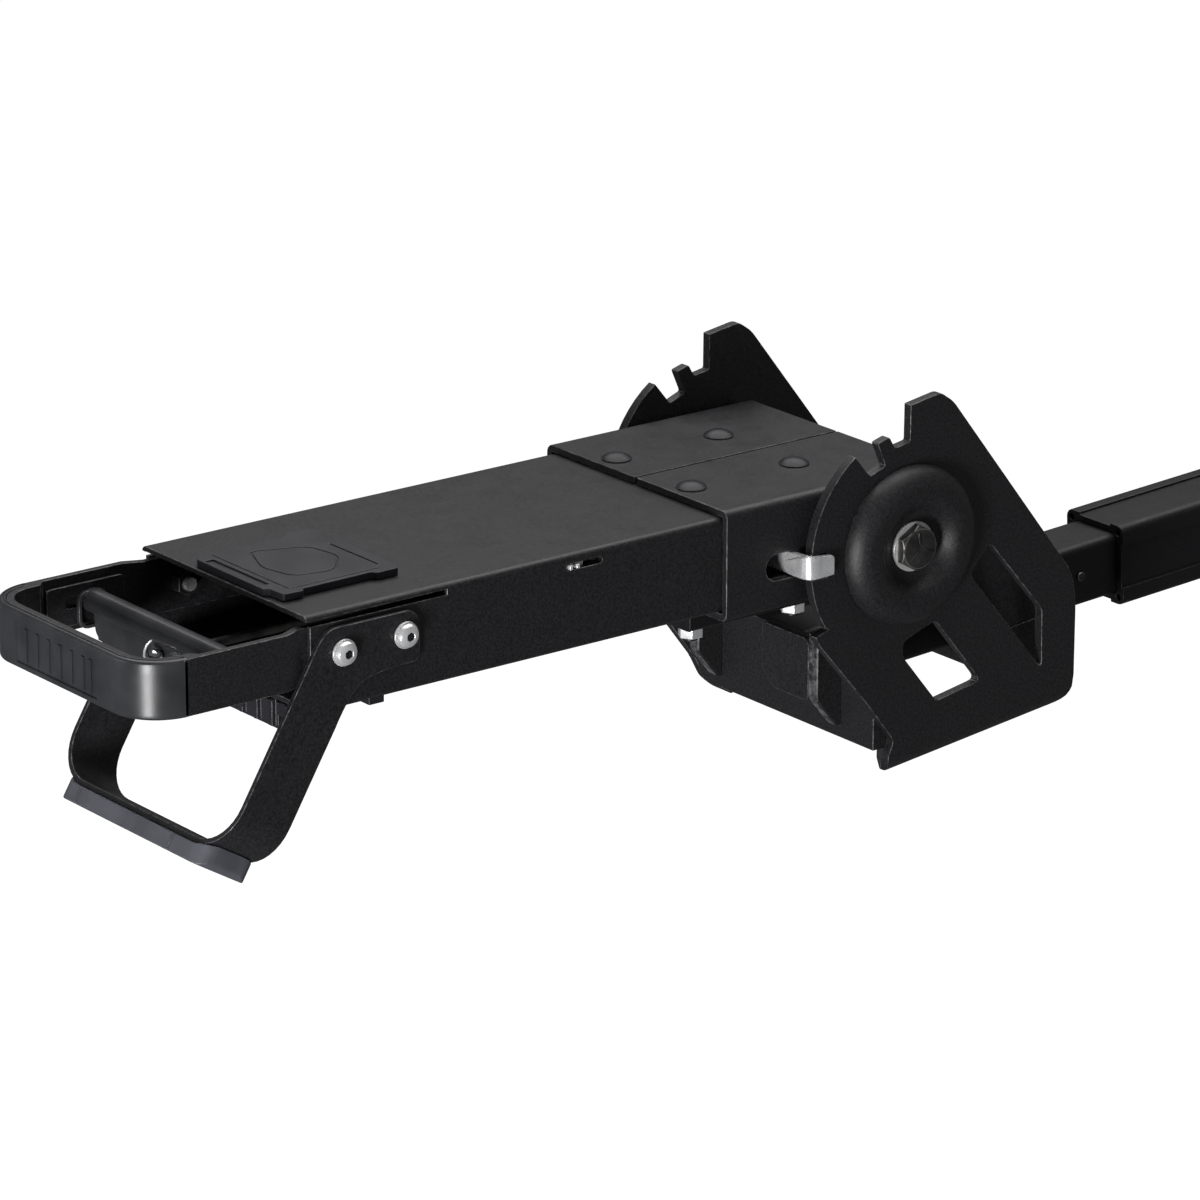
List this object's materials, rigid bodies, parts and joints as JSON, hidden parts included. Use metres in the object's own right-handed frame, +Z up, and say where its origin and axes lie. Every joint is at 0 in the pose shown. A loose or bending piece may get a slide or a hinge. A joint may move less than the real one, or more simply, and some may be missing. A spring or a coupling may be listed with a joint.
{
  "type": "tilting hitch rack arm",
  "caption": "Hitch-mounted rack base: a sleeved tongue carries a notched bracket and a box arm that tilts on a through bolt, with an end handle, a lift strap and a squeeze release.",
  "frame": {"origin": "centre of the hitch pin hole, on the tongue's axis", "axes": "+Y along the arm from the handle end towards the vehicle, +Z up, +X to the right of someone who stands at the handle and faces the vehicle; the tongue rises 2.9 degrees towards the vehicle"},
  "size_m": [0.2141, 0.867, 0.2203],
  "materials": {
    "black_powder_coat": "fine-grained satin black powder coat",
    "dark_coat": "flat black paint",
    "charcoal_moulding": "satin charcoal moulding",
    "grip_grey": "satin blue-grey soft moulding",
    "black_plastic": "matt black moulded plastic",
    "black_bolt": "black coated bolt head",
    "dull_steel": "dull plain steel",
    "bright_zinc": "bright zinc plate",
    "chrome": "polished"
  },
  "bodies": {
    "base": {"tongue_tube": "dark_coat", "tongue_screw": "dull_steel", "adapter_sleeve": "dark_coat", "cheek_right": "black_powder_coat", "cheek_left": "black_powder_coat", "pivot_cap_right": "black_powder_coat", "pivot_cap_left": "black_powder_coat", "pivot_washer_right": "bright_zinc", "pivot_washer_left": "bright_zinc", "pivot_bolt": "dull_steel", "pivot_nut": "dull_steel", "front_panel": "black_powder_coat", "rib_right": "black_powder_coat", "rib_left": "black_powder_coat", "rear_panel": "black_powder_coat"},
    "arm": {"arm_tube": "black_powder_coat", "head_right": "black_powder_coat", "head_left": "black_powder_coat", "head_keeper": "dark_coat", "head_bolt_a": "black_bolt", "head_nut_a": "bright_zinc", "head_bolt_b": "black_bolt", "head_nut_b": "bright_zinc", "head_bolt_c": "black_bolt", "head_nut_c": "bright_zinc", "head_bolt_d": "black_bolt", "head_nut_d": "bright_zinc", "pivot_sleeve": "dull_steel", "tray_plate": "black_plastic", "nose_block": "black_plastic", "side_clip": "bright_zinc", "handle_strap": "black_powder_coat", "handle_grip": "charcoal_moulding", "trigger_guide_right": "black_powder_coat", "trigger_guide_left": "black_powder_coat", "lift_strap": "black_powder_coat", "lift_grip": "grip_grey", "lift_washer_front_right": "bright_zinc", "lift_screw_front_right": "bright_zinc", "lift_nut_front_right": "dull_steel", "lift_washer_front_left": "bright_zinc", "lift_screw_front_left": "bright_zinc", "lift_nut_front_left": "dull_steel", "lift_washer_rear_right": "bright_zinc", "lift_screw_rear_right": "bright_zinc", "lift_nut_rear_right": "dull_steel", "lift_washer_rear_left": "bright_zinc", "lift_screw_rear_left": "bright_zinc", "lift_nut_rear_left": "dull_steel"},
    "release": {"trigger_bar": "charcoal_moulding", "rod_ball": "chrome", "pull_rod": "dull_steel", "latch_bar": "bright_zinc"}
  },
  "joints": [
    {"name": "arm_tilt", "type": "hinge", "parent": "base", "child": "arm", "pos_m": [0, -0.318, 0.07243], "axis": [-1, 0, 0], "range_deg": [-20, 83]},
    {"name": "release_slide", "type": "slide", "parent": "arm", "child": "release", "axis": [0, -1, 0], "range_m": [0, 0.013], "stiffness_N_per_m": 800, "springref_m": -0.012}
  ]
}
